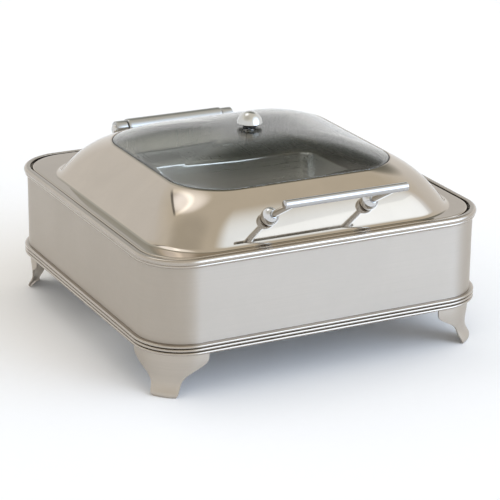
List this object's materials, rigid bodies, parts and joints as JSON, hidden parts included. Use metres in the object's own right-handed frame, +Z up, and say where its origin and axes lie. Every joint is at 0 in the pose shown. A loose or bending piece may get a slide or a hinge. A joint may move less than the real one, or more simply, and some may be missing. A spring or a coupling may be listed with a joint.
{
  "type": "chafing dish",
  "caption": "Square chafing dish with a hinged steel lid and domed glass window, a bar handle, nested pans and a skirted stand on four flared corner feet.",
  "frame": {"origin": "middle of the object's bounding box, on the table that the four toes stand on", "axes": "+Z up, the handle and the lid's opening edge face -Y, the hinge is on the +Y side"},
  "size_m": [0.4402, 0.4742, 0.2593],
  "materials": {
    "stand_steel": "bright satin",
    "foot_steel": "bright satin",
    "inner_steel": "mill finish",
    "pan_steel": "satin",
    "lid_steel": "mirror polished",
    "hinge_steel": "satin",
    "handle_chrome": "mirror polished",
    "fasteners": "plain",
    "seals": "matt",
    "glass": "clear tempered"
  },
  "bodies": {
    "stand": {"skirt": "stand_steel", "rim_strips": "stand_steel", "rim_corners": "stand_steel", "plinth": "stand_steel", "pan_ledge": "inner_steel", "foot_front_left": "foot_steel", "foot_front_right": "foot_steel", "foot_rear_left": "foot_steel", "foot_rear_right": "foot_steel", "fuel_cradle": "inner_steel", "cradle_rivets": "fasteners", "burner_left": "inner_steel", "burner_right": "inner_steel", "snuffer_pin_left": "fasteners", "snuffer_pin_right": "fasteners"},
    "left_snuffer": {"snuffer_left": "inner_steel"},
    "right_snuffer": {"snuffer_right": "inner_steel"},
    "pan_unit": {"water_pan": "pan_steel", "food_pan": "pan_steel", "lid_bumpers": "seals", "hinge_ear_left": "hinge_steel", "hinge_ear_right": "hinge_steel", "hinge_pin": "fasteners", "hinge_cap_nuts": "fasteners"},
    "lid": {"lid_flange": "lid_steel", "lid_dome": "lid_steel", "glass_gasket": "seals", "glass_window": "glass", "vent_stem": "fasteners", "vent_washers": "seals", "vent_nut": "fasteners", "vent_knob": "handle_chrome", "handle_ball_left": "handle_chrome", "handle_ball_right": "handle_chrome", "handle_arm_left": "handle_chrome", "handle_arm_right": "handle_chrome", "handle_bar": "handle_chrome", "handle_studs": "fasteners", "handle_nuts": "fasteners", "hinge_barrel": "hinge_steel", "hinge_leaf": "hinge_steel", "hinge_leaf_screws": "fasteners"}
  },
  "joints": [
    {"name": "pan_unit_lift", "type": "slide", "parent": "stand", "child": "pan_unit", "axis": [0, 0, 1], "range_m": [0, 0.16]},
    {"name": "lid_hinge", "type": "hinge", "parent": "pan_unit", "child": "lid", "pos_m": [0, 0.22093, 0.188], "axis": [-1, 0, 0], "range_deg": [0, 92]},
    {"name": "left_snuffer_swing", "type": "hinge", "parent": "stand", "child": "left_snuffer", "pos_m": [-0.088, 0.06392, 0.05], "axis": [0, 0, -1], "range_deg": [0, 100]},
    {"name": "right_snuffer_swing", "type": "hinge", "parent": "stand", "child": "right_snuffer", "pos_m": [0.088, 0.06392, 0.05], "axis": [0, 0, 1], "range_deg": [0, 100]}
  ]
}
